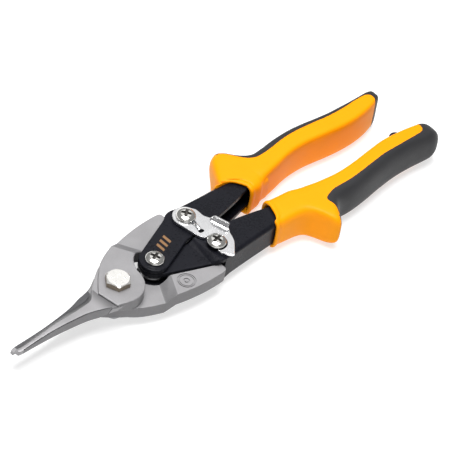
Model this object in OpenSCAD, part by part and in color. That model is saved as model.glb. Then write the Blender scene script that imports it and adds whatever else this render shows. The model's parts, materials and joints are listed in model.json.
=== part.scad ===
// Compound-action aviation snips, straight cut, shown closed and latched.
// Two identical forged blades turn on a hex bolt. Two pressed steel handles share a
// centre pivot, and each handle is pinned to the rear arm of its own blade, so that
// squeezing the handles drives the blades with extra leverage.
// Design origin: the main bolt's axis in the shear plane. +X points to the grips.

/* [Linkage] */
// Main bolt to centre pivot of the handles
centre_pivot_x = 23.2; // [22:0.1:25]
// Main bolt to the two link pins, along X
link_pin_x = 52; // [50:0.5:54]
// Link pins' distance from the centre line
link_pin_y = 10; // [9.5:0.1:10.5]

/* [Blades] */
// Jaw length, from the main bolt to the tip
jaw_length = 62.5; // [55:0.5:75]
// Height of the round boss at the main bolt
boss_h = 6.5; // [6:0.1:7]
// Radius of the boss
boss_r = 12.6; // [12:0.1:13]
// Thickness of the rear arm
arm_t = 7; // [6:0.1:7.4]
// Gap between the two shear faces
shear_gap = 0.06; // [0.02:0.01:0.1]

/* [Handles] */
// Sheet thickness of the pressed handles
sheet_t = 2.4; // [2:0.1:2.5]
// Outer height of the handle channel
channel_h = 14; // [13.4:0.1:14.4]
// Radius of the round end at the centre pivot
round_end_r = 7.3; // [7:0.1:7.8]
// Where the channel's closed side begins
web_start_x = 51.5; // [51:0.1:53]
// Where the steel ends inside the grip
tang_end_x = 150; // [140:1:155]

/* [Grips] */
// Thickness of the soft skin
skin_t = 1.8; // [1.5:0.1:2]
// Squareness of the grip's section, 2 is an ellipse
section_power = 4.2; // [3.6:0.1:5]

/* [Pins and fasteners] */
// Radius of the main bolt's shank
bolt_r = 3.5; // [3:0.1:4]
// Across flats of the main bolt's head and nut
bolt_af = 10.8; // [10:0.1:12]
// Height of the main bolt's head
bolt_head_h = 3.2; // [2.8:0.1:4]
// Radius of the three handle pins
pin_r = 2.5; // [2.2:0.1:2.8]
// Radius of the handle screws' heads
head_r = 4.55; // [4:0.05:5]
// Height of the handle screws' heads
head_h = 2.3; // [2:0.1:2.6]
// Radial running clearance of the pins
run_clear = 0.05; // [0.02:0.01:0.09]
// Radial clearance of the lower handle on the centre pivot
open_clear = 0.45; // [0.4:0.01:0.6]

/* [Latch] */
// Thickness of the latch plate
latch_t = 1.5; // [1.2:0.1:1.6]
// Radius of the hook's notch round the lower link pin
notch_r = 5; // [4.8:0.1:5.2]
// Height of the thumb tab above the latch plate
tab_h = 3; // [2:0.1:4]

/* [Hidden] */
$fn = 64;
eps = 0.01;

P1 = [centre_pivot_x, 0];
P2 = [link_pin_x, link_pin_y];
P3 = [link_pin_x, -link_pin_y];
half_h = channel_h / 2;
inner_face = half_h - sheet_t;            // inner face of the outer plates
nest_gap = 0.1;                           // between the nested plates
nested_top = inner_face - nest_gap;       // top of the lower handle's nested plates
nested_in = nested_top - sheet_t;         // inner face of those plates
joggle_x = 44.5;                          // where the nested plates step outwards
joggle_len = 3;
joggle_lead = 0.8;                        // the step's outer face starts this much sooner
relief_half = nested_in - 0.1;            // half thickness of the arm between nested plates
washer_r = 4.4;
nut_af = 8;
nut_h = 2.6;
lock_nut_h = 4.6;
latch_lift = 0.35;                        // room for the wave washer under the latch
latch_z = half_h + latch_lift;
latch_top = latch_z + latch_t;
head_gap = 0.12;                          // between the latch and the heads above it
neck_r = 1.6;                             // slim neck of the lower link screw
neck_bottom = half_h + 0.15;              // the neck starts just above the handle plate
eye_r = 4.8;                              // round end of the blade arm on its pin
grip_end_x = 187.5;                       // rear end of the lower grip
lowest_z = -(boss_h + 0.4 + lock_nut_h);
row_shift = [-(grip_end_x - jaw_length) / 2, 0, -lowest_z];

// ---- curves ------------------------------------------------------------------

// Point on a Catmull-Rom curve between b and c
function crv(a, b, c, d, t) = 0.5 * (2 * b + (c - a) * t + (2 * a - 5 * b + 4 * c - d) * t * t
    + (3 * b - a - 3 * c + d) * t * t * t);
// Smooth open curve through the points, n steps a span
function smooth(p, n = 3) = [
    for (i = [0:len(p) - 2], j = [0:n - 1])
        crv(p[max(i - 1, 0)], p[i], p[i + 1], p[min(i + 2, len(p) - 1)], j / n),
    p[len(p) - 1]
];

module plate(z0, z1) { translate([0, 0, z0]) linear_extrude(z1 - z0) children(); }
module at(p, z0, z1, r) { translate([p[0], p[1], z0]) cylinder(h = z1 - z0, r = r); }

// ---- blade: one forging, used twice --------------------------------------------

// Outer edge of the forging, from the nose to the end of the arm
blade_outer = [[-11.5, 0.3], [-5.8, 6.6], [2.2, 13.5], [12.2, 17.9], [22, 20.5], [34, 22.1], [44, 22.3]];
// Square rear corner of the arm
arm_corner = [[47, 22.1], [48.3, 20.8], [48.3, 14.6]];
// Inner edge of the arm, clear of the handles' round ends
arm_inner = [[47, 2.6], [42, 3.4], [30, 6.9], [22.5, 9], [17.5, 7.4], [14.2, 3.6], [12.4, 0]];
nose_edge = [[0, -12.6], [-5.5, -11.3], [-9.8, -9.8]];
ramp_angle = 29.6;      // direction in which the forging steps towards its centre
ramp_from = 20.8;       // distance of the step's two ends from the bolt, that way
ramp_to = 26.4;
ring_mark = [28.4, 16]; // place of the ring mark on the arm
ring_mark_r = 4.3;
ring_groove = 0.5;
hex_turn = 52;          // how far the bolt's corners are turned from the tool's length
// Where the arm is thinner, so that the nested handle plates pass on both sides of it
relief_plan = [[18, -5], [18, 6.6], [45, 16.8], [46.6, 18], [46.8, 13], [48.2, 2], [48.2, -5]];

// Jaw sections: x, outer edge, cutting edge, far edge of the top face, height, lean of the outer wall
jaw_rows = [
    [-jaw_length, -2.3, -0.8, -1.5, 1.9, 0.4], [-jaw_length + 2.5, -2.9, 0.6, -1.5, 2.7, 0.4],
    [-52, -3.3, 1.6, -1.3, 3.7, 0.4], [-42, -3.7, 2.4, -0.9, 4.6, 0.4], [-32, -4.6, 3, -0.9, 5.1, 0.4],
    [-23, -5.7, 3.5, -1, 5.4, 0.4], [-16.5, -7.6, 3.9, -0.1, 5.4, 0.6], [-13, -8.9, 4.8, 3, 5.4, 1.3],
    [-9.8, -10, 6.3, 5.7, 5.4, 1.9], [-4.5, -11.1, 10, 9.6, 5.4, 1.2], [2, -11.6, 13.2, 13, 5.4, 0.6]
];
land_h = 0.5;           // small flat above the cutting edge

function jaw_section(r) = [
    [r[0], r[1] + r[5], shear_gap / 2], [r[0], r[2], shear_gap / 2],
    [r[0], r[2], shear_gap / 2 + land_h], [r[0], r[3], r[4]], [r[0], r[1], r[4]]
];

// Closed solid through rings with the same number of points
module loft(rings) {
    n = len(rings[0]);
    m = len(rings);
    polyhedron(
        points = [for (r = rings, p = r) p],
        faces = concat(
            [[for (i = [0:n - 1]) i]],
            [[for (i = [n - 1:-1:0]) (m - 1) * n + i]],
            [for (k = [0:m - 2], i = [0:n - 1])
                [k * n + i, (k + 1) * n + i, (k + 1) * n + (i + 1) % n]],
            [for (k = [0:m - 2], i = [0:n - 1])
                [k * n + i, (k + 1) * n + (i + 1) % n, k * n + (i + 1) % n]]
        )
    );
}

module blade_plan() {
    polygon(concat(smooth(blade_outer, 3), arm_corner, arm_inner, nose_edge));
    intersection() {
        circle(r = boss_r);
        translate([-1, -boss_r]) square([2 * boss_r, boss_r + 8]);
    }
    translate(P2) circle(r = eye_r);
}
module blade() {
    low = shear_gap / 2;
    difference() {
        union() {
            intersection() {
                plate(-arm_t / 2, boss_h) blade_plan();
                rotate(ramp_angle) rotate([90, 0, 0]) linear_extrude(200, center = true) polygon([
                    [-100, low], [ramp_from, low], [ramp_to, -arm_t / 2], [100, -arm_t / 2],
                    [100, arm_t / 2], [ramp_to, arm_t / 2], [ramp_from, boss_h], [-100, boss_h]
                ]);
            }
            loft([for (r = jaw_rows) jaw_section(r)]);
        }
        at([0, 0], -1, boss_h + 1, bolt_r + run_clear);
        at(P2, -arm_t, arm_t, pin_r + run_clear);
        both_sides() plate(relief_half, arm_t) polygon(relief_plan);
        translate([ring_mark[0], ring_mark[1], -arm_t / 2]) difference() {
            cylinder(h = ring_groove, r = ring_mark_r, center = true);
            cylinder(h = ring_groove, r = ring_mark_r - ring_groove, center = true);
        }
    }
}
module upper_blade() { color("silver") blade(); }
module lower_blade() { color("silver") rotate([180, 0, 0]) blade(); }

// ---- main bolt ---------------------------------------------------------------

module hexagon(af) { circle(r = af / sqrt(3), $fn = 6); }
// Hexagonal prism with its top corners turned down
module hex_block(af, h) {
    intersection() {
        linear_extrude(h) hexagon(af);
        rotate_extrude() polygon([[0, 0], [af, 0], [af, h - 1.6], [af / 2 - 0.3, h], [0, h]]);
    }
}
module pivot_bolt() {
    color("gainsboro") {
        translate([0, 0, boss_h]) rotate(hex_turn) hex_block(bolt_af, bolt_head_h);
        at([0, 0], lowest_z, boss_h, bolt_r);
    }
}
module pivot_washer() {
    color("gainsboro") difference() {
        at([0, 0], -boss_h - 0.4, -boss_h, 6.4);
        at([0, 0], -boss_h - 1, 0, bolt_r + run_clear);
    }
}
module pivot_nut() {
    color("gray") translate([0, 0, -boss_h - 0.4]) difference() {
        rotate([180, 0, 0]) rotate(hex_turn) hex_block(bolt_af, lock_nut_h);
        at([0, 0], -lock_nut_h - 1, 1, bolt_r);
    }
}

// ---- handles: pressed channels ---------------------------------------------------

// Outer edge of a handle's plates, from the centre pivot to the end of the tang
plate_outer = [[21, 7.1], [45, 16.2], [47.4, 17.6], [52, 17.6], [62, 16.9], [75, 16.2], [86, 15.8],
    [100, 15.8], [120, 17], [136, 17], [tang_end_x, 16]];
// Inner edge, on the channel's open side
plate_inner = [[tang_end_x, 11.4], [120, 11.8], [104, 10.4], [90, 7.4], [77, 4.4], [64, 2.2], [52, 0.5],
    [44, 0.15], [24, -7.1]];

module handle_plan() {
    polygon(concat(plate_outer, plate_inner));
    translate(P1) circle(r = round_end_r);
}
// Closed side of the channel, a strip along the outer edge
module web_plan() {
    outer = [for (p = plate_outer) if (p[0] > web_start_x) p];
    polygon(concat(outer, [for (i = [len(outer) - 1:-1:0]) outer[i] - [0, sheet_t]]));
}
// One plate of sheet between z0 and z0 + sheet_t
module flat_plate() { plate(inner_face, half_h) handle_plan(); }
// The nested plate steps outwards behind the joggle
module stepped_plate() {
    intersection() {
        plate(0, half_h) handle_plan();
        rotate([90, 0, 0]) linear_extrude(200, center = true) polygon([
            [0, nested_in], [joggle_x, nested_in], [joggle_x + joggle_len, inner_face],
            [200, inner_face], [200, half_h], [joggle_x + joggle_len - joggle_lead, half_h],
            [joggle_x - joggle_lead, nested_top], [0, nested_top]
        ]);
    }
}
module both_sides() {
    children();
    mirror([0, 0, 1]) children();
}
module pin_holes(centre_clear) {
    at(P1, -half_h - 1, half_h + 1, pin_r + centre_clear);
    at(P2, -half_h - 1, half_h + 1, pin_r);
}
module upper_handle_channel() {
    color([0.1, 0.1, 0.12]) difference() {
        union() {
            both_sides() flat_plate();
            plate(-half_h, half_h) web_plan();
        }
        pin_holes(0);
    }
}
module lower_handle_channel() {
    color([0.1, 0.1, 0.12]) mirror([0, 1, 0]) difference() {
        union() {
            both_sides() stepped_plate();
            plate(-half_h, half_h) web_plan();
        }
        pin_holes(open_clear);
    }
}

// ---- grips ----------------------------------------------------------------------

// Grip sections: x, inner edge, outer edge, half height
upper_rows = [
    [76, 3.8, 17.2, 8.4], [80, 3.8, 18.6, 8.8], [84, 4, 25, 9], [88, 4.2, 30.4, 9.1], [92, 4.9, 32.4, 9.2],
    [95, 5.6, 30.8, 9.2], [99, 6.5, 25.6, 9.3], [104, 7.4, 21.9, 9.4], [110, 8.6, 21.7, 9.4],
    [116, 9.9, 22.3, 9.4], [122, 10.7, 22.7, 9.4], [130, 10.8, 22.7, 9.4], [138, 9.9, 21.8, 9.4],
    [145, 8.9, 20.7, 9.4], [152, 8.2, 19.9, 9.3], [160, 8.1, 19.4, 9.3], [167, 8.8, 19.1, 9.2],
    [173, 10.2, 19, 9], [177, 11.8, 18.8, 8.4], [179.6, 13.6, 18, 7], [180.8, 15.2, 17, 4]
];
lower_rows = [
    [82, 3.2, 18.6, 8.4], [90, 3.9, 19, 8.8], [97, 4.8, 19.8, 9.2], [101.5, 5.6, 21.6, 9.3],
    [104, 6.1, 26.4, 9.3], [106.2, 6.6, 32, 9.3], [108.4, 7.1, 34.2, 9.3], [111, 7.6, 32, 9.3],
    [114.6, 8.6, 26.8, 9.4], [120, 9.7, 23.6, 9.5], [128, 10.6, 23.6, 9.6], [138, 10.3, 22.6, 9.6],
    [149, 9.1, 21, 9.5], [160, 8.1, 20, 9.4], [170, 8.8, 20.2, 9.3], [177, 9.6, 20.8, 9],
    [182, 10.6, 21, 8.2], [185.6, 12, 20, 6.4], [grip_end_x, 14, 17.6, 3]
];
section_points = 20;

function spow(v, e) = sign(v) * pow(abs(v), e);
// Rounded-square ring of a grip, drawn in by inset
function grip_ring(r, inset) = [
    for (i = [0:section_points - 1])
        let (a = (i + 0.5) * 360 / section_points, mid = (r[1] + r[2]) / 2)
        [r[0], mid + ((r[2] - r[1]) / 2 - inset) * spow(cos(a), 2 / section_power),
            (r[3] - inset) * spow(sin(a), 2 / section_power)]
];
module grip_body(rows, inset = 0) {
    last = len(rows) - 1;
    inner_rows = inset == 0 ? rows : [for (i = [0:last]) if (i < last - 1) rows[i]];
    loft([for (r = smooth(inner_rows, 2)) grip_ring(r, inset)]);
}
// The front of a grip slants back towards the inner side
module collar_cut(outer_x, inner_x) {
    plate(-20, 20) polygon([[60, -10], [inner_x, -10], [inner_x, 6.6], [inner_x - 3, 12],
        [outer_x, 17], [outer_x, 40], [60, 40]]);
}
// Space that the steel tang fills
module tang_space() { plate(-half_h, half_h) polygon(concat(plate_outer, plate_inner)); }

// Edge of the soft skin on the upper grip, from the finger guard round to the end
upper_edge = [[90.6, 60], [91.6, 32.6], [93, 30.8], [95.2, 27.9], [97.6, 23.6], [100.6, 19.7], [104.4, 17.7],
    [109.3, 17.5], [115, 18], [121, 18.8], [127.6, 19.1], [133.4, 18.8], [141, 18], [148, 17.1], [158, 16.6],
    [167, 17], [172, 17], [174.6, 16.3], [176, 14.8], [175.7, 12.6], [174.8, 10.4], [173.6, 3]];
// The same edge on the lower grip
lower_edge = [[109.2, -38], [109.4, -33.6], [110.9, -30.2], [112.1, -26.8], [112.1, -24], [111.6, -22],
    [112.3, -20.2], [115.4, -18.9], [119.6, -18.1], [129.7, -18.3], [141.3, -17.2], [153.2, -15.9],
    [163.3, -15.9], [172.5, -16], [177.6, -15.8], [179.8, -14.4], [180.6, -12], [180.8, -8]];

// Plan of the area that the soft skin covers
module upper_skin_plan() { polygon(concat(smooth(upper_edge, 2), [[200, 0], [200, 60]])); }
module lower_skin_plan() { polygon(concat(smooth(lower_edge, 2), [[200, -6], [200, -60], [110, -60]])); }

module upper_grip_hard() {
    color("orange") difference() {
        union() {
            difference() {
                grip_body(upper_rows);
                plate(-20, 20) upper_skin_plan();
            }
            grip_body(upper_rows, skin_t);
        }
        collar_cut(78, 88.5);
        tang_space();
    }
}
module upper_grip_soft() {
    color([0.25, 0.25, 0.27]) difference() {
        intersection() {
            grip_body(upper_rows);
            plate(-20, 20) upper_skin_plan();
        }
        grip_body(upper_rows, skin_t);
    }
}
module lower_body(inset = 0) { mirror([0, 1, 0]) grip_body(lower_rows, inset); }
// Eye for a lanyard, on the inner side near the end of the grip
eye_at = [172, -6.6];
eye_out_r = 3.3;
eye_in_r = 1.9;
eye_half_h = 1.8;
// Runner through the hard shell, which joins the eye to the skin at the end
runner_half_h = 1.3;
runner = [[170.4, -8.7], [173.6, -8.7], [173.6, -11], [186.6, -14], [186.6, -16.6], [170.4, -13.2]];
module eye_root() {
    at(eye_at, -eye_half_h, eye_half_h, eye_out_r);
    plate(-runner_half_h, runner_half_h) polygon(runner);
}
module lower_grip_hard() {
    color("orange") difference() {
        union() {
            difference() {
                lower_body();
                plate(-20, 20) lower_skin_plan();
            }
            lower_body(skin_t);
        }
        mirror([0, 1, 0]) collar_cut(84, 88.5);
        mirror([0, 1, 0]) tang_space();
        eye_root();
    }
}
module lower_grip_soft() {
    color([0.25, 0.25, 0.27]) {
        difference() {
            intersection() {
                lower_body();
                plate(-20, 20) lower_skin_plan();
            }
            lower_body(skin_t);
        }
        difference() {
            eye_root();
            at(eye_at, -eye_half_h - 1, eye_half_h + 1, eye_in_r);
        }
    }
}

// ---- pins, screws and nuts ----------------------------------------------------------

// Pan head with a cross recess, its underside at z = 0
module pan_head() {
    crown = 0.9;
    difference() {
        rotate_extrude() polygon([[0, 0], [head_r, 0], [head_r, head_h - crown], [head_r - 0.5, head_h - 0.4],
            [head_r - 1.5, head_h], [0, head_h]]);
        for (a = [0, 90]) rotate(a) translate([-2.3, -0.5, head_h - 1.3]) cube([4.6, 1, 2]);
    }
}
module pin_screw(p, head_z, foot_z, turn) {
    color("gainsboro") translate([p[0], p[1], head_z]) rotate(turn) {
        pan_head();
        translate([0, 0, foot_z - head_z]) cylinder(h = head_z - foot_z, r = pin_r);
    }
}
module thin_nut(p) {
    color("gray") difference() {
        translate([p[0], p[1], -half_h]) rotate([180, 0, 0]) hex_block(nut_af, nut_h);
        at(p, -half_h - nut_h - 1, 0, pin_r);
    }
}
pin_foot = -half_h - nut_h - 0.3;
module handle_pivot_screw() { pin_screw(P1, half_h, pin_foot, 20); }
module handle_pivot_nut() { thin_nut(P1); }
module upper_link_screw() { pin_screw(P2, latch_top + head_gap, pin_foot, 35); }
module upper_link_nut() { thin_nut(P2); }
// The lower link pin has a slim neck under its raised head, where the latch hooks on
module lower_link_screw() {
    color("gainsboro") translate([P3[0], P3[1], 0]) {
        translate([0, 0, latch_top + head_gap]) rotate(10) pan_head();
        translate([0, 0, neck_bottom]) cylinder(h = latch_top + head_gap - neck_bottom, r = neck_r);
        translate([0, 0, pin_foot]) cylinder(h = neck_bottom - pin_foot, r = pin_r);
    }
}
module lower_link_nut() { thin_nut(P3); }

// Thin washers that centre a blade arm between its handle's plates
module arm_washers(p) {
    color("silver") both_sides() difference() {
        at(p, arm_t / 2 + 0.1, inner_face - 0.02, washer_r);
        at(p, 0, half_h, pin_r + run_clear);
    }
}
module upper_arm_washers() { arm_washers(P2); }
module lower_arm_washers() { arm_washers(P3); }

// ---- spring -----------------------------------------------------------------------

bush_r = 4;
wire_r = 0.75;
coil_r = bush_r + wire_r + 0.15;
module spring_bush() {
    color("silver") difference() {
        at(P1, -nested_in + 0.1, nested_in - 0.1, bush_r);
        at(P1, -half_h, half_h, pin_r + run_clear);
    }
}
// Torsion spring: two turns round the bush, the crossing between them, and a leg along each blade arm
leg_angle = -8;
leg_length = 16;
turn_z = wire_r + 0.05;
module return_spring() {
    color("dimgray") translate([P1[0], P1[1], 0]) {
        translate([-coil_r, 0, -turn_z]) cylinder(h = 2 * turn_z, r = wire_r - 0.1);
        for (s = [-1, 1]) translate([0, 0, s * turn_z]) {
            rotate_extrude() translate([coil_r, 0]) circle(r = wire_r);
            rotate(s * leg_angle) translate([2, s * coil_r, 0]) rotate([0, 90, 0])
                cylinder(h = leg_length, r = wire_r - 0.05);
        }
    }
}

// ---- latch -------------------------------------------------------------------------

latch_r = 6.2;                     // round end on the upper link pin
notch_from = 108;                  // the notch is open between these directions
notch_to = 233;
tab_ends = [[60.6, 2.2], [63.2, -7]];  // outer line of the thumb tab
tab_t = 1.4;
tab_plan = [tab_ends[0], tab_ends[1], tab_ends[1] - [tab_t, 0.4], tab_ends[0] - [tab_t, 0.4]];
slots = [[51.2, -0.8], [52, 4.9]];     // two small slots with a raised bridge between them
slot_size = [1.6, 1.4];
bridge_r = 0.8;
module latch_plan() {
    difference() {
        union() {
            translate(P2) circle(r = latch_r);
            polygon([P2 + [-latch_r, 0], P2 + [latch_r, 0], [58.9, 4.6], tab_ends[0], tab_ends[1],
                [61.2, -8.4], [60.4, -11], [58.9, -14.4], [53.4, -20.4], [49, -16.2], [48.8, -13],
                [50.4, -6], [48.3, -3], [47.3, 0]]);
        }
        translate(P3) {
            circle(r = notch_r);
            polygon([for (a = [notch_from, notch_from + 30, 180, notch_to]) 30 * [cos(a), sin(a)], [0, 0]]);
        }
        at(P2, 0, 1, pin_r + run_clear);
    }
}
module latch() {
    color("gainsboro") {
        difference() {
            plate(latch_z, latch_top) latch_plan();
            at(P2, 0, 20, pin_r + run_clear);
            for (p = slots) translate([p[0], p[1], 0]) plate(0, 20) square(slot_size, center = true);
        }
        // thumb tab, bent up
        plate(latch_z, latch_top + tab_h) polygon(tab_plan);
        // raised bridge between the two slots
        translate([slots[0][0], slots[0][1] + slot_size[1] / 2, latch_top - eps]) intersection() {
            rotate([-90, 0, 0]) cylinder(h = slots[1][1] - slots[0][1] - slot_size[1], r = bridge_r);
            translate([-2, 0, 0]) cube([4, 5, 4]);
        }
    }
}
module latch_wave_washer() {
    color("silver") difference() {
        at(P2, half_h + 0.02, latch_z - 0.02, 5.2);
        at(P2, 0, 20, pin_r + run_clear);
    }
}

// ---- the row, standing on its lowest face ----------------------------------------------

module row() { translate(row_shift) children(); }
row() upper_blade();
row() lower_blade();
row() pivot_bolt();
row() pivot_washer();
row() pivot_nut();
row() upper_handle_channel();
row() lower_handle_channel();
row() upper_grip_hard();
row() upper_grip_soft();
row() lower_grip_hard();
row() lower_grip_soft();
row() handle_pivot_screw();
row() handle_pivot_nut();
row() spring_bush();
row() return_spring();
row() upper_link_screw();
row() upper_link_nut();
row() lower_link_screw();
row() lower_link_nut();
row() upper_arm_washers();
row() lower_arm_washers();
row() latch();
row() latch_wave_washer();
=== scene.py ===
import bpy, bmesh, math, json
from mathutils import Vector, Matrix


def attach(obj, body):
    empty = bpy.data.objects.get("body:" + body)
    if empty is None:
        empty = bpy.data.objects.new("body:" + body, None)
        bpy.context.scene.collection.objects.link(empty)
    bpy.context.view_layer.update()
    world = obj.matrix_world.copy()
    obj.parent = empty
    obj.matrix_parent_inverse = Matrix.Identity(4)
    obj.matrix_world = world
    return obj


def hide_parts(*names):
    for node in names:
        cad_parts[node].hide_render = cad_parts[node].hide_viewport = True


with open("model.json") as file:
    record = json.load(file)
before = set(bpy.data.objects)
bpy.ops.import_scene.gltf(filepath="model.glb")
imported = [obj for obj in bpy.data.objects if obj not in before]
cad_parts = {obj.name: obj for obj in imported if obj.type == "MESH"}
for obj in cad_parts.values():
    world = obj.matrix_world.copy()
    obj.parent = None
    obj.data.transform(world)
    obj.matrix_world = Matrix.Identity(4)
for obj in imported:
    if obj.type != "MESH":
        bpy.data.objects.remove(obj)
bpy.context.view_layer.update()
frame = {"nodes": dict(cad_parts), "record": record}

JOINTS = {j["name"]: j for j in frame["record"]["behaviour"]["joints"]}
O = Vector(JOINTS["jaw_open"]["pos_m"])          # main bolt's axis in the shear plane
MM = 0.001
SCENE = bpy.context.scene


def W(p):
    """Design millimetres, measured from the main bolt in the shear plane, to the frame's metres."""
    return Vector((O.x + p[0] * MM, O.y + p[1] * MM, O.z + p[2] * MM))


# ---------------------------------------------------------------- camera and light

def camera():
    az, el, roll = math.radians(-52), math.radians(44.5), math.radians(11)
    scale, far = 2245.0, 4.0
    fwd = Vector((-math.sin(az) * math.cos(el), math.cos(az) * math.cos(el), -math.sin(el)))
    right = Vector((math.cos(az), math.sin(az), 0))
    up = right.cross(fwd)
    r = right * math.cos(roll) + up * math.sin(roll)
    u = -right * math.sin(roll) + up * math.cos(roll)
    target = W((0, 0, 9.7)) - r * ((118.4 - 225) / scale) - u * ((225 - 277.3) / scale)
    data = bpy.data.cameras.new("camera")
    cam = bpy.data.objects.new("camera", data)
    SCENE.collection.objects.link(cam)
    m = Matrix((r, u, -fwd)).transposed().to_4x4()
    m.translation = target - fwd * far
    cam.matrix_world = m
    data.sensor_width = 36
    data.lens = 36 * (scale * far) / 450
    data.clip_end = 30
    SCENE.camera = cam


def area(name, loc, aim, size, power):
    data = bpy.data.lights.new(name, "AREA")
    data.shape = "RECTANGLE"
    data.size, data.size_y = size
    data.energy = power
    o = bpy.data.objects.new(name, data)
    SCENE.collection.objects.link(o)
    o.location = loc
    o.rotation_euler = (Vector(aim) - Vector(loc)).to_track_quat("-Z", "Y").to_euler()
    return o


def studio():
    world = bpy.data.worlds.new("studio")
    SCENE.world = world
    world.use_nodes = True
    bg = world.node_tree.nodes["Background"]
    bg.inputs[0].default_value = (1, 1, 1, 1)
    bg.inputs[1].default_value = 0.26
    area("back_box", (0.62, 0.5, 0.85), (0, 0, 0), (0.85, 0.75), 1.3)
    area("front_box", (-0.75, -0.95, 0.9), (0, 0, 0), (1.0, 0.6), 1.5)
    area("top_box", (-0.1, 0.0, 1.1), (0, 0, 0), (0.7, 0.7), 20)
    SCENE.view_settings.view_transform = "Standard"
    SCENE.view_settings.look = "None"
    bm = bmesh.new()
    bmesh.ops.create_grid(bm, x_segments=1, y_segments=1, size=3.0)
    me = bpy.data.meshes.new("floor")
    bm.to_mesh(me)
    bm.free()
    floor = bpy.data.objects.new("floor", me)
    SCENE.collection.objects.link(floor)
    floor.location = (0, 0, -0.0002)
    m = bpy.data.materials.new("floor_paper")
    m.use_nodes = True
    b = m.node_tree.nodes["Principled BSDF"]
    b.inputs["Base Color"].default_value = (0.45, 0.45, 0.45, 1)
    b.inputs["Roughness"].default_value = 0.9
    b.inputs["Emission Color"].default_value = (1, 1, 1, 1)
    b.inputs["Emission Strength"].default_value = 0.62
    me.materials.append(m)


# ---------------------------------------------------------------- materials

def material(name, base, rough, metal=0.0, spread=0.08, grain=900.0, bump=0.12, depth=0.00004, fine=None,
             stretch=(1, 1, 1), spec=0.5, sheen=0.0, ior=1.45):
    """Principled material with uneven colour, uneven gloss and a fine surface, all in object space."""
    m = bpy.data.materials.new(name)
    m.use_nodes = True
    t = m.node_tree
    n, l = t.nodes, t.links
    b = n["Principled BSDF"]
    b.inputs["Metallic"].default_value = metal
    b.inputs["Specular IOR Level"].default_value = spec
    b.inputs["IOR"].default_value = ior
    if sheen:
        b.inputs["Sheen Weight"].default_value = sheen
        b.inputs["Sheen Roughness"].default_value = 0.5
    co = n.new("ShaderNodeTexCoord")
    mp = n.new("ShaderNodeMapping")
    mp.inputs["Scale"].default_value = stretch
    l.new(co.outputs["Object"], mp.inputs["Vector"])
    big = n.new("ShaderNodeTexNoise")
    big.inputs["Scale"].default_value = 70
    big.inputs["Detail"].default_value = 5
    big.inputs["Roughness"].default_value = 0.6
    l.new(co.outputs["Object"], big.inputs["Vector"])
    small = n.new("ShaderNodeTexNoise")
    small.inputs["Scale"].default_value = grain
    small.inputs["Detail"].default_value = 4
    small.inputs["Roughness"].default_value = 0.65
    l.new(mp.outputs["Vector"], small.inputs["Vector"])
    mix = n.new("ShaderNodeMix")
    mix.data_type = "FLOAT"
    mix.inputs[0].default_value = 0.5
    l.new(big.outputs["Fac"], mix.inputs[2])
    l.new(small.outputs["Fac"], mix.inputs[3])
    ramp = n.new("ShaderNodeValToRGB")
    lo = [max(0.0, c * (1 - spread)) for c in base]
    hi = [min(1.0, c * (1 + spread)) for c in base]
    ramp.color_ramp.elements[0].position = 0.36
    ramp.color_ramp.elements[0].color = (*lo, 1)
    ramp.color_ramp.elements[1].position = 0.64
    ramp.color_ramp.elements[1].color = (*hi, 1)
    l.new(mix.outputs[0], ramp.inputs["Fac"])
    l.new(ramp.outputs["Color"], b.inputs["Base Color"])
    rr = n.new("ShaderNodeMapRange")
    rr.inputs["From Min"].default_value = 0.35
    rr.inputs["From Max"].default_value = 0.65
    rr.inputs["To Min"].default_value = max(0.03, rough - 0.08)
    rr.inputs["To Max"].default_value = min(1.0, rough + 0.08)
    l.new(mix.outputs[0], rr.inputs["Value"])
    l.new(rr.outputs["Result"], b.inputs["Roughness"])
    height = small.outputs["Fac"]
    if fine:
        v = n.new("ShaderNodeTexVoronoi")
        v.inputs["Scale"].default_value = fine
        l.new(mp.outputs["Vector"], v.inputs["Vector"])
        add = n.new("ShaderNodeMath")
        add.operation = "ADD"
        l.new(v.outputs["Distance"], add.inputs[0])
        l.new(small.outputs["Fac"], add.inputs[1])
        height = add.outputs[0]
    bp = n.new("ShaderNodeBump")
    bp.inputs["Strength"].default_value = bump
    bp.inputs["Distance"].default_value = depth
    l.new(height, bp.inputs["Height"])
    l.new(bp.outputs["Normal"], b.inputs["Normal"])
    return m


def paint_fillet_shade(m, x0, x1, to):
    """Paints shade into a material's colour: darker towards x1, in object space, for the shade at the root of a concave
    fillet.
    """
    n, l = m.node_tree.nodes, m.node_tree.links
    b = n["Principled BSDF"]
    src = b.inputs["Base Color"].links[0].from_socket
    co = n.new("ShaderNodeTexCoord")
    sep = n.new("ShaderNodeSeparateXYZ")
    l.new(co.outputs["Object"], sep.inputs[0])
    mr = n.new("ShaderNodeMapRange")
    mr.interpolation_type = "SMOOTHSTEP"
    for name, v in (("From Min", x0), ("From Max", x1), ("To Min", 1.0), ("To Max", to)):
        mr.inputs[name].default_value = v
    l.new(sep.outputs["X"], mr.inputs["Value"])
    sc = n.new("ShaderNodeVectorMath")
    sc.operation = "SCALE"
    l.new(src, sc.inputs[0])
    l.new(mr.outputs["Result"], sc.inputs["Scale"])
    l.new(sc.outputs["Vector"], b.inputs["Base Color"])


M = {}


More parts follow.
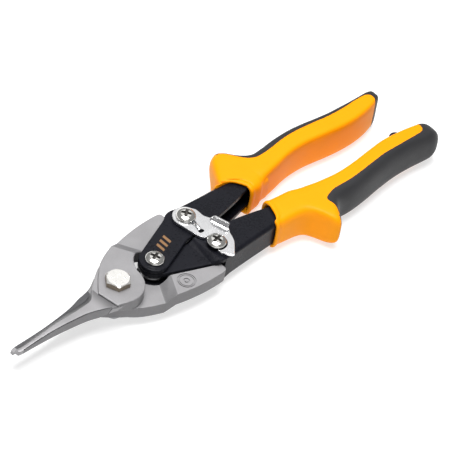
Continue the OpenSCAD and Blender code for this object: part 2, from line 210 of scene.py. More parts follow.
def materials():
    M["steel"] = material("forged_steel", (0.275, 0.27, 0.277), 0.46, 0.35, 0.10, 2600, 0.25, 0.00006, fine=3800)
    # darker steel for the blade walls and the ramp strip: painted shade for faces turned away from the top light
    M["scale"] = material("painted_shade_steel", (0.165, 0.163, 0.168), 0.55, 0.25, 0.14, 2600, 0.35, 0.00006, fine=3200)
    # shear face of the jaws: ground steel, made darker as painted shade where the other jaw shades it
    M["ground"] = material("ground_steel_and_shade", (0.10, 0.10, 0.105), 0.34, 0.6, 0.12, 2000, 0.12, 0.00003,
                           stretch=(0.2, 1, 1))
    # dark jaw bevels: painted shade lines between the top face and the walls
    M["edge"] = material("jaw_bevel_shade", (0.035, 0.035, 0.037), 0.45, 0.5, 0.2, 2000, 0.12, 0.00003)
    # nose fillet materials: painted shade, darker towards the boss
    for side in ("upper", "lower"):
        m = material(side + "_fillet", (0.275, 0.27, 0.277), 0.48, 0.35, 0.10, 2600, 0.25, 0.00006, fine=3800)
        paint_fillet_shade(m, O.x - 18 * MM, O.x - 10.6 * MM, 0.42)
        M[side + "_fillet"] = m
    M["bolt_side"] = material("bolt_flats", (0.30, 0.255, 0.20), 0.38, 0.8, 0.25, 1500, 0.2, 0.00004)
    M["bolt"] = material("zinc_bolt", (0.88, 0.87, 0.84), 0.24, 0.82, 0.05, 1500, 0.10, 0.00003)
    M["nut"] = material("plain_nut", (0.42, 0.42, 0.43), 0.36, 1.0, 0.12, 1800, 0.14, 0.00004)
    M["black"] = material("black_coat", (0.0075, 0.0078, 0.011), 0.30, 0.0, 0.25, 900, 0.06, 0.00003, ior=1.22)
    M["hard"] = material("grip_plastic", (0.87, 0.30, 0.0), 0.46, 0.0, 0.03, 1500, 0.08, 0.00004, ior=1.22)
    M["soft"] = material("grip_rubber", (0.018, 0.018, 0.020), 0.62, 0.0, 0.14, 1700, 0.22, 0.00006, fine=2600,
                         spec=0.35, sheen=0.08)
    M["nickel"] = material("polished_nickel", (0.84, 0.83, 0.80), 0.16, 1.0, 0.05, 900, 0.08, 0.00003)
    # painted shade for the inside of the cross recesses
    M["recess"] = material("recess_painted_shade", (0.10, 0.095, 0.09), 0.35, 0.8, 0.15, 1500, 0.10, 0.00003)
    M["plate"] = material("bright_plate", (0.80, 0.80, 0.81), 0.24, 1.0, 0.07, 1100, 0.20, 0.00005)
    M["spring"] = material("spring_wire", (0.36, 0.36, 0.37), 0.35, 1.0, 0.12, 1600, 0.12, 0.00003)
    M["copper"] = material("copper_print", (0.25, 0.135, 0.06), 0.42, 0.35, 0.15, 2200, 0.10, 0.00003)


# ---------------------------------------------------------------- mesh tools

def curve(p, n=4, closed=False):
    """Catmull-Rom curve through points of any dimension."""
    q = [tuple(map(float, a)) for a in p]
    k = len(q)
    out = []
    for i in range(k if closed else k - 1):
        a = q[(i - 1) % k] if closed else q[max(i - 1, 0)]
        b, c = q[i], q[(i + 1) % k]
        d = q[(i + 2) % k] if closed else q[min(i + 2, k - 1)]
        for j in range(n):
            t = j / n
            out.append(tuple(0.5 * (2 * b[m] + (c[m] - a[m]) * t + (2 * a[m] - 5 * b[m] + 4 * c[m] - d[m]) * t * t
                                    + (3 * b[m] - a[m] - 3 * c[m] + d[m]) * t ** 3) for m in range(len(b))))
    if not closed:
        out.append(q[-1])
    return out


def arc(c, r, a0, a1, n=12):
    return [(c[0] + r * math.cos(math.radians(a0 + (a1 - a0) * i / n)),
             c[1] + r * math.sin(math.radians(a0 + (a1 - a0) * i / n))) for i in range(n + 1)]


def ccw(p):
    s = sum(p[i][0] * p[(i + 1) % len(p)][1] - p[(i + 1) % len(p)][0] * p[i][1] for i in range(len(p)))
    return list(p) if s > 0 else list(reversed(p))


def blend(t):
    t = min(1, max(0, t))
    return t * t * (3 - 2 * t)


def clean(p, gap=0.12):
    out = []
    for a in p:
        if not out or math.dist(a, out[-1]) > gap:
            out.append(a)
    if math.dist(out[0], out[-1]) < gap:
        out.pop()
    return out


def inset(p, d):
    """Closed outline moved inwards by d."""
    n = len(p)
    out = []
    for i in range(n):
        a, b, c = Vector(p[i - 1][:2]), Vector(p[i][:2]), Vector(p[(i + 1) % n][:2])
        e, f = (b - a).normalized(), (c - b).normalized()
        ne, nf = Vector((-e.y, e.x)), Vector((-f.y, f.x))
        m = (ne + nf)
        m = m / max(m.dot(ne), 0.35) if m.length > 1e-6 else ne
        q = b + m * d
        out.append((q.x, q.y))
    return out


def flat(v):
    return (lambda x, y: v) if not callable(v) else v


def add_ring_faces(bm, rings):
    for a, b in zip(rings[:-1], rings[1:]):
        n = len(a)
        for i in range(n):
            j = (i + 1) % n
            bm.faces.new((a[i], a[j], b[j], b[i]))


def slab(bm, outline, top, bottom, r_top=0.5, r_bottom=0.5, cuts=(), steps=3):
    """Plate with rounded rims. top and bottom are heights, or functions of x and y that bend only along the cuts."""
    top, bottom = flat(top), flat(bottom)
    p = clean(ccw(outline))
    work = bmesh.new()
    rings = []

    def ring(d, z):
        rings.append([work.verts.new((x, y, z)) for x, y in (inset(p, d) if d else p)])
    for k in range(steps, -1, -1):
        a = math.pi / 2 * k / steps
        ring(r_bottom * (1 - math.cos(a)), r_bottom * (1 - math.sin(a)))
    for k in range(steps + 1):
        a = math.pi / 2 * k / steps
        ring(r_top * (1 - math.cos(a)), 1000 - r_top * (1 - math.sin(a)))
    work.faces.new(list(reversed(rings[0])))
    add_ring_faces(work, rings)
    work.faces.new(rings[-1])
    for point, normal in cuts:
        bmesh.ops.bisect_plane(work, geom=work.verts[:] + work.edges[:] + work.faces[:], dist=1e-4,
                               plane_co=(*point, 0), plane_no=(*normal, 0))
    for v in work.verts:
        x, y, z = v.co
        v.co.z = top(x, y) + z - 1000 if z > 500 else bottom(x, y) + z
    merge(bm, work)


def merge(bm, work):
    me = bpy.data.meshes.new("tmp")
    work.to_mesh(me)
    work.free()
    bm.from_mesh(me)
    bpy.data.meshes.remove(me)


def loft(bm, rings, cap0=True, cap1=True):
    work = bmesh.new()
    vs = [[work.verts.new(p) for p in r] for r in rings]
    add_ring_faces(work, vs)
    if cap0:
        work.faces.new(list(reversed(vs[0])))
    if cap1:
        work.faces.new(vs[-1])
    bmesh.ops.recalc_face_normals(work, faces=work.faces[:])
    merge(bm, work)


def lathe(bm, profile, at, n=64):
    """Round solid from (radius, height) points; a radius of 0 closes it."""
    work = bmesh.new()
    rings = []
    for r, z in profile:
        if r < 1e-6:
            rings.append([work.verts.new((at[0], at[1], z))])
        else:
            rings.append([work.verts.new((at[0] + r * math.cos(2 * math.pi * i / n),
                                          at[1] + r * math.sin(2 * math.pi * i / n), z)) for i in range(n)])
    for a, b in zip(rings[:-1], rings[1:]):
        for i in range(n):
            j = (i + 1) % n
            f = [a[i % len(a)], a[j % len(a)], b[j % len(b)], b[i % len(b)]]
            g = []
            for v in f:
                if v not in g:
                    g.append(v)
            if len(g) > 2:
                work.faces.new(g)
    bmesh.ops.recalc_face_normals(work, faces=work.faces[:])
    merge(bm, work)


def piece(name, bm, mat, body=None, nodes=(), sharp=35, flip_y=False, flip_z=False):
    for v in bm.verts:
        x, y, z = v.co
        v.co = W((x, -y if flip_y else y, -z if flip_z else z))
    if flip_y != flip_z:
        bmesh.ops.reverse_faces(bm, faces=bm.faces[:])
    me = bpy.data.meshes.new(name)
    bm.to_mesh(me)
    bm.free()
    for f in me.polygons:
        f.use_smooth = True
    me.set_sharp_from_angle(angle=math.radians(sharp))
    me.materials.append(mat)
    o = bpy.data.objects.new(name, me)
    SCENE.collection.objects.link(o)
    if body:
        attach(o, body)
    if nodes:
        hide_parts(*nodes)
    return o


def boolean(a, b, how="DIFFERENCE", sharp=35):
    """Applies b to a's mesh and removes b."""
    md = a.modifiers.new("cut", "BOOLEAN")
    md.object, md.operation, md.solver = b, how, "EXACT"
    dg = bpy.context.evaluated_depsgraph_get()
    new = bpy.data.meshes.new_from_object(a.evaluated_get(dg))
    a.modifiers.clear()
    mats = list(a.data.materials)
    a.data = new
    new.materials.clear()
    for m in mats:
        new.materials.append(m)
    for f in new.polygons:
        f.use_smooth = True
        f.material_index = 0
    new.set_sharp_from_angle(angle=math.radians(sharp))
    bpy.data.objects.remove(b)


def weighted(o):
    md = o.modifiers.new("normals", "WEIGHTED_NORMAL")
    md.keep_sharp = True
    md.weight = 80


# ---------------------------------------------------------------- blades

RAMP = math.radians(29.6)
RAMP_DIR = (math.cos(RAMP), math.sin(RAMP))
RAMP_FROM, RAMP_TO = 20.8, 26.4
BOSS, ARM = 6.5, 3.5
P1, P2, P3 = (23.2, 0), (52, 10), (52, -10)


def ramp_mix(x, y):
    s = x * RAMP_DIR[0] + y * RAMP_DIR[1]
    return min(1, max(0, (s - RAMP_FROM) / (RAMP_TO - RAMP_FROM)))


def blade_outline():
    outer = curve([(-11.5, 0.3), (-5.8, 6.6), (2.2, 13.5), (12.2, 17.9), (22, 20.5), (34, 22.1), (44, 22.3)], 5)
    corner = arc((46.3, 20.1), 2, 80, 0, 5)
    rear = [(48.3, 14.6)] + arc(P2, 4.8, 135, -110, 18)
    inner = curve([(47, 3.6), (42, 3.9), (30, 6.9), (22.5, 9), (17.5, 7.4), (14.2, 3.6), (12.6, 0)], 4)
    boss = arc((0, 0), 12.6, -6, -84, 16)
    nose = curve([(-2, -12.45), (-5.5, -11.6), (-9.8, -10.3)], 3)
    return outer + corner + rear + inner + boss + nose


def jaw_rings():
    # x, outer edge, far edge of the top face, cutting edge, height, how far the wall leans in at the bottom
    rows = [(-62.5, -2.2, -1.1, -0.7, 2.0, 0.3), (-62.2, -2.6, -0.9, -0.2, 2.4, 0.3), (-60, -3.1, -1.2, 0.8, 2.9, 0.4),
            (-52, -3.3, -1.2, 1.6, 3.8, 0.4), (-42, -3.7, -0.9, 2.4, 4.7, 0.4), (-32, -4.6, -0.9, 3.0, 5.2, 0.4),
            (-23, -5.7, -1.0, 3.5, 5.4, 0.3), (-16.5, -7.6, -0.1, 3.9, 5.4, 0.5), (-13, -9.0, 3.0, 4.8, 5.4, 1.4),
            (-10.4, -10.3, 5.2, 5.9, 5.4, 2.2), (-8, -10.85, 7.1, 7.7, 5.4, 2.1), (-4.5, -11.5, 9.6, 10.2, 5.4, 1.2),
            (0, -12.0, 12.3, 12.6, 5.4, 0.6), (3, -11.8, 13.3, 13.4, 5.4, 0.4)]
    out = []
    for x, yo, yf, yc, h, lean in curve(rows, 5):
        b = min(0.5, h * 0.13)
        low, land = 0.05, 0.35
        yc = max(yc, yf + 0.25)
        out.append([(x, yo + lean, low), (x, yo + lean * 0.5, h * 0.45), (x, yo + 0.02, h - b * 1.6), (x, yo + 0.12, h - b * 0.6),
                    (x, yo + b, h - 0.05), (x, yo + b * 1.8, h), (x, (yo + yf) / 2, h + 0.03), (x, yf - b * 0.6, h),
                    (x, yf, h - 0.06), (x, yf + 0.14, h - 0.2), (x, yc - 0.04, low + land + 0.1), (x, yc, low + land),
                    (x, yc, low)])
    return out


def blade(name, body, lower=False):
    bm = bmesh.new()
    outline = blade_outline()
    a = (RAMP_DIR[0] * RAMP_FROM, RAMP_DIR[1] * RAMP_FROM)
    b = (RAMP_DIR[0] * RAMP_TO, RAMP_DIR[1] * RAMP_TO)
    slab(bm, outline, lambda x, y: BOSS + (ARM - BOSS) * ramp_mix(x, y),
         lambda x, y: 0.03 - (ARM + 0.03) * ramp_mix(x, y), 0.55, 0.25, [(a, RAMP_DIR), (b, RAMP_DIR)], 4)
    for v in bm.verts:                                   # the wall leans in towards the jaw
        if v.co.z < 3 and v.co.y < -6 and v.co.x < 0:
            v.co.y += 2.2 * blend(-v.co.x / 9)
    o = piece(name, bm, M["steel"], body, [name.replace("_body", "")], 32, lower, lower)
    jaw = bmesh.new()
    loft(jaw, jaw_rings())
    boolean(o, piece("jaw", jaw, M["steel"], flip_y=lower, flip_z=lower), "UNION", 32)
    # the arm is thinner where the other sheet steel passes on both sides of it
    for s in (1, -1):
        c = bmesh.new()
        slab(c, [(18, -5), (18, 6.6), (45, 16.8), (46.6, 18), (46.8, 13), (48.2, 2), (48.2, -5)], s * 3 + 1, s * 3 - 1,
             0.02, 0.02)
        cutter = piece("cutter", c, M["steel"], flip_y=lower, flip_z=lower)
        boolean(o, cutter)
    # ring marks on the arm, on the side away from the other blade
    for ro, ri in ((4.4, 3.95), (3.5, 3.2), (1.5, 0.9)):
        c = bmesh.new()
        rings = []
        for r, z in ((ro, -4), (ro, -3.05), (ri, -3.05), (ri, -4)):
            rings.append([(28.4 + r * math.cos(t * math.pi / 24), 16 + r * math.sin(t * math.pi / 24), z)
                          for t in range(48)])
        loft(c, rings + [rings[0]], False, False)
        bmesh.ops.remove_doubles(c, verts=c.verts[:], dist=1e-4)
        cutter = piece("cutter", c, M["steel"], flip_y=lower, flip_z=lower)
        boolean(o, cutter)
    for m in ("scale", "ground", "edge", "lower_fillet" if lower else "upper_fillet"):
        o.data.materials.append(M[m])
    side = -1 if lower else 1
    for f in o.data.polygons:
        q = (f.center - O) / MM
        s = q.x * RAMP_DIR[0] + q.y * side * RAMP_DIR[1]
        up = abs(f.normal.z)
        if q.x < -59.5:
            continue
        if abs(q.z) < 0.3 and up > 0.9 and q.x < -4:      # ground shear face, its dark colour partly painted shade
            f.material_index = 2
        elif q.x < -12 and 0.3 < up < 0.93:               # painted shade: dark lines on the jaw's sloped bevels
            f.material_index = 3
        # side walls and the ramp strip: painted shade, a darker steel
        elif up < 0.35 or (up < 0.94 and RAMP_FROM < s < RAMP_TO and q.x > 6):
            f.material_index = 1
        # faces in the nose fillet: painted shade from the fillet material
        elif -18 < q.x < -9 and q.y * side < 0.4 and 5 < abs(q.z) < 6:
            f.material_index = 4
    weighted(o)
    return o


# ---------------------------------------------------------------- handles

PLATE_OUTER = [(45, 16.2), (47.4, 17.6), (52, 17.6), (62, 16.9), (75, 16.2), (86, 15.8), (100, 15.8), (120, 17),
               (136, 17), (150, 16)]
PLATE_INNER = [(44, 0.15), (52, 0.5), (64, 2.2), (77, 4.4), (90, 7.4), (104, 10.4), (120, 11.8), (150, 11.4)]
HALF, SHEET = 7.0, 2.4
WEB_X = 50.0


def along(table, x):
    for (x0, y0), (x1, y1) in zip(table[:-1], table[1:]):
        if x <= x1:
            return y0 + (y1 - y0) * max(0, (x - x0) / (x1 - x0))
    return table[-1][1]


def front_outline(wide):
    """The flat front of a handle plate: the round end, the slanting sides and the start of the channel."""
    out = arc(P1, 7.3, 111, 256, 24)
    out += curve([(24.6, -6.95), (34, -3.45), (44, 0.15), (WEB_X + 3, along(PLATE_INNER, WEB_X + 3))], 4)
    out += [(WEB_X + 3, 14.3), (WEB_X + 0.1, 14.3), (WEB_X, 17.55 + wide)]
    out += curve([(48.6, 17.6 + wide), (46.4, 17.1 + wide * 0.7), (44, 15.8)], 3)
    return out


def channel(name, body, nested, lower, wide):
    bm = bmesh.new()
    outline = front_outline(wide)
    top, bot = HALF - 0.01, HALF - SHEET + 0.01
    drop = 2.5
    for s in (1, -1):
        if nested:
            def step(x, y):
                return -drop * (1 - min(1, max(0, (x - 44) / 3.2)))
            hi = lambda x, y: top + step(x, y)
            lo = lambda x, y: bot + step(x, y)
            cuts = [((44, 0), (1, 0)), ((47.2, 0), (1, 0))]
        else:
            hi, lo, cuts = top, bot, ()
        w = bmesh.new()
        slab(w, outline, hi, lo, 0.55, 0.4, cuts)
        if s < 0:
            for v in w.verts:
                v.co.z = -v.co.z
            bmesh.ops.reverse_faces(w, faces=w.faces[:])
        merge(bm, w)
    rings = []
    xs = [WEB_X + 0.0, WEB_X + 0.5, WEB_X + 1, WEB_X + 1.6, WEB_X + 2.4, WEB_X + 3.4, WEB_X + 4.6] + [
        56.5 + 2.6 * i for i in range(36)]
    outer, inner = curve([(x, y + wide) for x, y in PLATE_OUTER], 6), curve(PLATE_INNER, 6)
    for x in xs:
        if x > 104:
            break
        yo, yi = along(outer, x), along(inner, x)
        k = min(1, (x - WEB_X) / 4.6)
        r = 0.6 + 1.4 * k
        ri = max(0.15, r - SHEET)
        e = 0.35                                    # rounding of the sheet's cut edge
        ring = [(yi + e, HALF), (yo - r - 0.6, HALF)]
        ring += [(yo - r + r * math.cos(a), HALF - r + r * math.sin(a)) for a in
                 [math.pi / 2 * (1 - j / 8) for j in range(9)]]
        ring += [(yo - r + r * math.cos(a), -HALF + r + r * math.sin(a)) for a in
                 [-math.pi / 2 * j / 8 for j in range(9)]]
        ring += [(yo - r - 0.6, -HALF), (yi + e, -HALF), (yi + 0.08, -HALF + 0.12), (yi, -HALF + e), (yi, -HALF + SHEET - e),
                 (yi + e, -HALF + SHEET)]
        ring += [(yo - SHEET - ri + ri * math.cos(a), -HALF + SHEET + ri + ri * math.sin(a)) for a in
                 [-math.pi / 2 * (1 - j / 4) for j in range(5)]]
        ring += [(yo - SHEET - ri + ri * math.cos(a), HALF - SHEET - ri + ri * math.sin(a)) for a in
                 [math.pi / 2 * j / 4 for j in range(5)]]
        ring += [(yi + e, HALF - SHEET), (yi, HALF - SHEET + e), (yi, HALF - e), (yi + 0.08, HALF - 0.12)]
        rings.append([(x, y, z) for y, z in ring])
    loft(bm, rings)
    o = piece(name, bm, M["black"], body, [name.replace("_body", "")], 38, lower)
    weighted(o)
    return o


# ---------------------------------------------------------------- grips

UPPER_ROWS = [  # station, inner edge, outer edge, half height
    (77, 3.9, 17.4, 8.5), (80, 3.9, 18.8, 8.8), (84, 4.0, 25.2, 9.0), (88, 4.2, 30.6, 9.1), (92, 4.9, 32.4, 9.2),
    (95, 5.6, 30.8, 9.2), (99, 6.5, 25.6, 9.3), (104, 7.4, 21.9, 9.4), (110, 8.6, 21.7, 9.4), (116, 9.9, 22.3, 9.4),
    (122, 10.7, 22.7, 9.4), (130, 10.8, 22.7, 9.4), (138, 9.9, 21.8, 9.4), (145, 8.9, 20.7, 9.4), (152, 8.2, 19.9, 9.3),
    (160, 8.1, 19.4, 9.3), (167, 8.8, 19.1, 9.2), (173, 10.2, 19.0, 9.0), (176.6, 11.6, 18.9, 8.6),
    (179.0, 13.0, 18.4, 7.6), (180.3, 14.4, 17.6, 5.6), (180.8, 15.4, 16.8, 2.6)]
LOWER_ROWS = [
    (83, 3.3, 18.5, 8.5), (90, 3.9, 19.0, 8.9), (97, 4.8, 19.8, 9.2), (101, 5.5, 21.6, 9.3), (103.6, 6.0, 26.0, 9.3),
    (106, 6.5, 31.8, 9.3), (108.4, 7.0, 34.0, 9.3), (110.8, 7.5, 32.0, 9.3), (114.4, 8.6, 27.0, 9.4),
    (119, 9.6, 24.0, 9.5), (128, 10.6, 23.9, 9.6), (138, 10.3, 22.9, 9.6), (149, 9.1, 21.3, 9.5), (160, 8.1, 20.3, 9.4),
    (170, 8.8, 20.4, 9.3), (177, 9.6, 21.1, 9.0), (181.5, 10.3, 21.6, 8.4), (184.4, 11.2, 21.0, 7.2),
    (186.4, 12.4, 19.6, 5.4), (187.3, 13.8, 18.0, 3.2), (187.6, 15.0, 16.8, 1.4)]
UPPER_SKIN = [(90.6, 60), (91.6, 32.6), (93.0, 30.8), (95.2, 27.9), (97.6, 23.6), (100.6, 19.7), (104.4, 17.7),
              (109.3, 17.5), (115, 18.0), (121, 18.8), (127.6, 19.1), (133.4, 18.8), (141, 18.0), (148, 17.1),
              (158, 16.6), (167, 17.0), (172, 17.0), (174.6, 16.3), (176.0, 14.8), (175.7, 12.6), (174.8, 10.4),
              (173.6, 3)]
LOWER_SKIN = [(108.6, 60), (109.4, 33.6), (110.9, 30.2), (112.1, 26.8), (112.1, 24), (111.6, 22), (112.3, 20.2),
              (115.4, 18.9), (119.6, 18.1), (129.7, 18.3), (141.3, 17.2), (153.2, 15.9), (163.3, 15.9), (172.5, 16.0),
              (177.6, 15.8), (179.8, 14.4), (180.6, 12), (180.8, 8), (180, -4)]


def front_upper(y):
    t = min(1, max(0, (15.6 - y) / 8))
    return 77.2 + 11.3 * t ** 0.3


def front_lower(y):
    t = min(1, max(0, (16 - y) / 9))
    return 83.2 + 5.2 * t ** 0.45


def spow(v, e):
    return math.copysign(abs(v) ** e, v)


def grip_rings(rows, front, grow=0.0, p_out=4.4, tuck=0.0, n=84):
    x0 = rows[0][0]
    span = 27.0
    f0 = front(99)

    def ring(s, inner, outer, half, d=0.0, shift=0.0):
        mid, hw = (inner + outer) / 2, (outer - inner) / 2 + d + grow
        hh = half + d + grow
        out = []
        for i in range(n):
            a = 2 * math.pi * (i + 0.5) / n
            c, t = math.cos(a), math.sin(a)
            e = 2 / (4.4 + (p_out - 4.4) * blend((s - 105) / 14)) if c > 0 else 2 / (4.4 + 2 * blend((s - 92) / 12))
            y, z = mid + hw * spow(c, e), hh * spow(t, e)
            if c > 0:                                     # the guard is shorter underneath
                y -= tuck * c * blend(-z / 8) * blend((s - 82) / 5) * blend((101 - s) / 6)
            keep = 1 - blend((s - x0) / span)
            out.append((s + shift + (front(y) - f0) * keep, y, z))
        return out
    table = curve(rows, 6)
    rings = []
    r0 = table[0]
    for d, sh in ((-2.4, 14), (-1.6, 13), (-1.3, 2.0), (-0.95, 0.35), (-0.6, 0.05), (-0.2, 0.0), (0.15, 0.12),
                  (0.38, 0.5), (0.45, 1.0), (0.4, 1.6), (0.22, 2.2), (0.05, 2.8)):
        r = next((t for t in table if t[0] >= x0 + min(4, max(0, sh)) - 1e-6), r0)
        rings.append(ring(x0, r0[1], r0[2], r0[3], d, sh))
    for t in table:
        if t[0] > x0 + 3.6:
            rings.append(ring(*t))
    return rings


def grip(kind, rows, skin, front, body, lower, p_out, tuck):
    def solid(name, grow, mat):
        bm = bmesh.new()
        loft(bm, grip_rings(rows, front, grow, p_out, tuck))
        return piece(name, bm, mat, flip_y=lower, sharp=50)

    def prism():
        c = bmesh.new()
        edge = curve(skin, 5)
        slab(c, edge + [(205, -4), (205, 60)], 40, -40, 0.01, 0.01, steps=1)
        return piece("cutter", c, M["soft"], flip_y=lower)
    hard = solid(kind + "_grip_hard_body", 0.0, M["hard"])
    boolean(hard, prism(), "DIFFERENCE", 50)
    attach(hard, body)
    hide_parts(kind + "_grip_hard")
    soft = solid(kind + "_grip_soft_body", 0.12, M["soft"])
    boolean(soft, prism(), "INTERSECT", 50)
    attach(soft, body)
    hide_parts(kind + "_grip_soft")
    return hard, soft


def lanyard_eye():
    bm = bmesh.new()
    c, r, w = (172, -6.6), 2.6, 0.72
    rings = []
    for i in range(40):
        a = 2 * math.pi * i / 40
        ring = []
        for j in range(14):
            b = 2 * math.pi * j / 14
            q = r + w * spow(math.cos(b), 0.7)
            ring.append((c[0] + q * math.cos(a), c[1] + q * math.sin(a), 1.7 * spow(math.sin(b), 0.6)))
        rings.append(ring)
    loft(bm, rings + [rings[0]], False, False)
    bmesh.ops.remove_doubles(bm, verts=bm.verts[:], dist=1e-4)
    slab(bm, [(168.4, -11.5), (175.6, -11.5), (174.5, -8.6), (169.5, -8.6)], 1.6, -1.6, 0.4, 0.4)
    piece("lanyard_eye", bm, M["soft"], "lower_lever", sharp=60)


# ---------------------------------------------------------------- screws, nuts and the main bolt

def cross_bar(at, z, turn, size=2.8, width=0.72, depth=1.4):
    """One tapered bar of a cross recess."""
    bm = bmesh.new()
    a = math.radians(turn)
    rings = []
    for zz, l, w in ((z - depth, size * 0.45, width * 0.55), (z + 0.4, size * 1.05, width * 1.15)):
        pts = []
        for sx, sy in ((-1, -1), (1, -1), (1, 1), (-1, 1)):
            x, y = sx * l, sy * w
            pts.append((at[0] + x * math.cos(a) - y * math.sin(a), at[1] + x * math.sin(a) + y * math.cos(a), zz))
        rings.append(pts)
    loft(bm, rings)
    return piece("cutter", bm, M["nickel"])


def screw(name, node, body, at, z, foot, turn, neck=None, lead=2.5):
    r, h = 4.55, 2.3
    top = [(0, z + h), (1.2, z + h - 0.02), (2.3, z + h - 0.14), (3.1, z + h - 0.36), (3.8, z + h - 0.72),
           (4.25, z + h - 1.1), (4.5, z + h - 1.5), (r, z + h - 1.8), (r, z + 0.25), (r - 0.2, z)]
    if neck:
        body_profile = [(neck, z), (neck, neck_z), (lead, neck_z - 0.05)]
    else:
        body_profile = [(lead, z)]
    bm = bmesh.new()
    lathe(bm, top + body_profile + [(lead, foot + 0.4), (lead - 0.4, foot), (0, foot)], at, 72)
    o = piece(name, bm, M["nickel"], body, [node], 28)
    boolean(o, cross_bar(at, z + h, turn), sharp=28)
    boolean(o, cross_bar(at, z + h, turn + 90), sharp=28)
    # faces inside the cross recess: painted shade
    o.data.materials.append(M["recess"])
    for f in o.data.polygons:
        q = (f.center - O) / MM
        rad = math.hypot(q.x - at[0], q.y - at[1])
        if rad < 2.95 and z + 0.5 < q.z < z + h - 0.14 and q.z < z + h - 0.03 * rad ** 2 - 0.12:
            f.material_index = 1
    weighted(o)
    return o


neck_z = 7.15


def hex_head(bm, at, z0, h, af, turn, up=1, n=72):
    """Hexagon with its outer corners turned down to a round top face."""
    work = bmesh.new()
    flat_r = af / 2 - 0.35
    rings = []

    def hexr(a):
        b = (a - math.radians(turn)) % (math.pi / 3)
        return (af / 2) / math.cos(b - math.pi / 6)

    def edge(a):
        """How far the turned cone cuts the hexagon down in direction a."""
        return max(0.0, (hexr(a) - flat_r) * math.tan(math.radians(30)))

    def ring(radius, z):
        rings.append([work.verts.new((at[0] + radius(a) * math.cos(a), at[1] + radius(a) * math.sin(a), z(a)))
                      for a in angles])
    angles = [math.radians(turn) + 2 * math.pi * i / n for i in range(n)]
    ring(lambda a: hexr(a) * 0.94, lambda a: 0.0)
    ring(hexr, lambda a: 0.12)
    ring(hexr, lambda a: h - edge(a) - 0.1)
    ring(lambda a: hexr(a) - 0.07, lambda a: h - edge(a))
    ring(lambda a: flat_r, lambda a: h)
    ring(lambda a: flat_r - 0.3, lambda a: h + 0.03)
    add_ring_faces(work, rings)
    work.faces.new(list(reversed(rings[0])))
    work.faces.new(rings[-1])
    for v in work.verts:
        v.co.z = z0 + up * v.co.z
    bmesh.ops.recalc_face_normals(work, faces=work.faces[:])
    merge(bm, work)


def main_bolt():
    bm = bmesh.new()
    hex_head(bm, (0, 0), BOSS, 3.17, 10.8, 52)
    for i in range(6):                                   # grade marks
        a = math.radians(20 + 60 * i)
        p = [(math.cos(a) * r - math.sin(a) * w, math.sin(a) * r + math.cos(a) * w) for r, w in
             ((2.2, -0.14), (3.9, -0.14), (3.9, 0.14), (2.2, 0.14))]
        slab(bm, p, BOSS + 3.29, BOSS + 3.1, 0.06, 0.01, steps=2)
    lathe(bm, [(0, 6.6), (3.5, 6.6), (3.5, -10.9), (2.9, -11.5), (0, -11.5)], (0, 0), 48)
    o = piece("pivot_bolt_body", bm, M["bolt"], "upper_jaw", ["pivot_bolt"], 24)
    o.data.materials.append(M["bolt_side"])
    for f in o.data.polygons:
        if abs(f.normal.z) < 0.5 and (f.center - O).z / MM < BOSS + 3.1:
            f.material_index = 1
    weighted(o)
    bm = bmesh.new()
    hex_head(bm, (0, 0), -BOSS - 0.4, 4.6, 10.8, 52, -1)
    o = piece("pivot_nut_body", bm, M["nut"], "upper_jaw", ["pivot_nut"], 24)
    weighted(o)


def nut(name, node, body, at):
    bm = bmesh.new()
    hex_head(bm, at, -HALF, 2.6, 8.0, 0, -1)
    o = piece(name, bm, M["nut"], body, [node], 24)
    weighted(o)


# ---------------------------------------------------------------- latch

LATCH_Z, LATCH_TOP = 7.35, 8.85


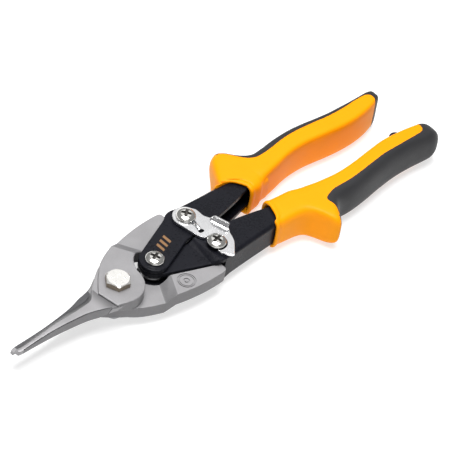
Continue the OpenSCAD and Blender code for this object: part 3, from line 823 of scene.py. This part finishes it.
def latch():
    bm = bmesh.new()
    outline = arc(P2, 6.2, 186, 22, 26)
    outline += curve([(58.9, 10.6), (59.0, 8.2), (59.0, 5.6), (60.2, 3.2)], 3)
    outline += curve([(60.9, 1.4), (62.0, -2.8), (62.9, -6.8)], 3)
    outline += curve([(62.3, -7.9), (61.2, -9.4), (60.4, -11.6), (58.9, -14.6), (55.4, -18.4), (53.6, -20.2)], 3)
    outline += curve([(52.6, -20.0), (50.2, -17.4), (49.0, -16.0)], 2)
    outline += arc(P3, 5, 233, 468, 22)
    outline += curve([(49.6, -4.6), (48.6, -3.4), (47.9, -1.6), (47.2, 2.0), (46.4, 6.6)], 3)
    slab(bm, outline, LATCH_TOP, LATCH_Z, 0.32, 0.2)
    o = piece("latch_body", bm, M["plate"], "latch", ["latch"], 30)
    # two slots, and the strip between them pressed up into a bridge
    for c in ((51.2, -0.8), (52.0, 4.9)):
        cut = bmesh.new()
        slab(cut, curve([(c[0] - 1.15, c[1] - 0.75), (c[0] + 1.15, c[1] - 0.95), (c[0] + 1.15, c[1] + 0.75),
                         (c[0] - 1.15, c[1] + 0.95)], 4, True), LATCH_TOP + 1, LATCH_Z - 1, 0.02, 0.02)
        boolean(o, piece("cutter", cut, M["plate"]), sharp=30)
    weighted(o)
    # thumb tab, bent up along a slanted edge
    a, b = Vector((60.6, 2.2)), Vector((63.2, -7.0))
    d = (b - a).normalized()
    nrm = Vector((-d.y, d.x))
    if nrm.x < 0:
        nrm = -nrm
    bm = bmesh.new()
    rings = []
    steps = 14
    for i in range(steps + 1):
        t = i / steps
        p = a + (b - a) * t
        hgt = 3.0 * (0.5 + 0.5 * min(1, t * 5)) if t < 0.2 else 3.0
        prof = [(-3.0, LATCH_TOP - 0.06), (-2.0, LATCH_TOP), (-1.55, LATCH_TOP + 0.25), (-1.4, LATCH_TOP + 0.7),
                (-1.38, LATCH_TOP + hgt - 0.35), (-1.2, LATCH_TOP + hgt - 0.06), (-0.9, LATCH_TOP + hgt),
                (-0.35, LATCH_TOP + hgt), (-0.06, LATCH_TOP + hgt - 0.12), (0.0, LATCH_TOP + hgt - 0.4),
                (0.0, LATCH_Z + 0.9), (-0.3, LATCH_Z + 0.3), (-0.9, LATCH_Z + 0.02), (-3.0, LATCH_Z + 0.1)]
        e = min(t, 1 - t) * (b - a).length
        k = math.sqrt(max(0, 1 - (1 - min(1, e / 0.35)) ** 2)) if e < 0.35 else 1
        mid = Vector((-0.8, (LATCH_Z + LATCH_TOP) / 2))
        ring = []
        for o_, z in prof:
            q = mid + (Vector((o_, z)) - mid) * (0.86 + 0.14 * k)
            ring.append((p.x + nrm.x * q.x, p.y + nrm.y * q.x, q.y))
        rings.append(ring)
    loft(bm, rings)
    piece("latch_tab", bm, M["plate"], "latch", sharp=30)
    br = bmesh.new()
    rings = []
    for i in range(13):
        t = i / 12
        x, y = 51.3 + 0.6 * t, -0.1 + 4.3 * t
        lift = 0.3 + 0.6 * math.sin(math.pi * t) ** 0.6
        wdt = 1.05
        rings.append([(x + wdt * math.cos(a), y, LATCH_TOP - 0.3 + (0.3 + lift) * max(0, math.sin(a)) ** 0.8) for a in
                      [math.pi * j / 12 for j in range(13)]] + [(x - wdt, y, LATCH_TOP - 0.4), (x + wdt, y, LATCH_TOP - 0.4)])
    loft(br, rings)
    bridge = piece("latch_bridge", br, M["plate"], "latch", sharp=40)
    return o, bridge


# ---------------------------------------------------------------- small details

def marks():
    """Three slanted copper bars printed on the upper handle plate."""
    bm = bmesh.new()
    d = Vector((P2[0] - P1[0], P2[1] - P1[1])).normalized()
    s = Vector((-d.y, d.x))
    base = Vector((30.6, 3.9))
    for k, (l, w) in enumerate(((4.6, 1.5), (4.6, 1.5), (4.6, 1.5))):
        c = base + d * (3.1 * k)
        a = c - s * l / 2 - d * 0.8
        b = c + s * l / 2 + d * 0.8
        slab(bm, [tuple(a - d * w / 2), tuple(a + d * w / 2), tuple(b + d * w / 2), tuple(b - d * w / 2)], HALF + 0.035,
             HALF - 0.05, 0.02, 0.01, steps=1)
    piece("plate_print", bm, M["copper"], "upper_lever", sharp=40)


def carried_over():
    pairs = {"pivot_washer": "bolt", "spring_bush": "spring", "return_spring": "spring", "upper_arm_washers": "spring",
             "lower_arm_washers": "spring", "latch_wave_washer": "spring"}
    for node, mat in pairs.items():
        o = frame["nodes"][node]
        if not o.material_slots:
            o.data.materials.append(M[mat])
        for s in o.material_slots:
            s.material = M[mat]


camera()
studio()
materials()
blade("upper_blade_body", "upper_jaw")
blade("lower_blade_body", "lower_jaw", True)
channel("upper_handle_channel_body", "upper_lever", False, False, 0.5)
channel("lower_handle_channel_body", "lower_lever", True, True, 1.3)
grip("upper", UPPER_ROWS, UPPER_SKIN, front_upper, "upper_lever", False, 4.4, 6.0)
grip("lower", LOWER_ROWS, LOWER_SKIN, front_lower, "lower_lever", True, 2.7, 0.0)
lanyard_eye()
main_bolt()
PIN_FOOT = -HALF - 2.9
screw("handle_pivot_screw_body", "handle_pivot_screw", "upper_lever", P1, HALF, PIN_FOOT, 20)
screw("upper_link_screw_body", "upper_link_screw", "upper_lever", P2, LATCH_TOP + 0.12, PIN_FOOT, 35)
screw("lower_link_screw_body", "lower_link_screw", "lower_lever", P3, LATCH_TOP + 0.12, PIN_FOOT, 10, 1.6)
nut("handle_pivot_nut_body", "handle_pivot_nut", "upper_lever", P1)
nut("upper_link_nut_body", "upper_link_nut", "upper_lever", P2)
nut("lower_link_nut_body", "lower_link_nut", "lower_lever", P3)
latch()
marks()
carried_over()
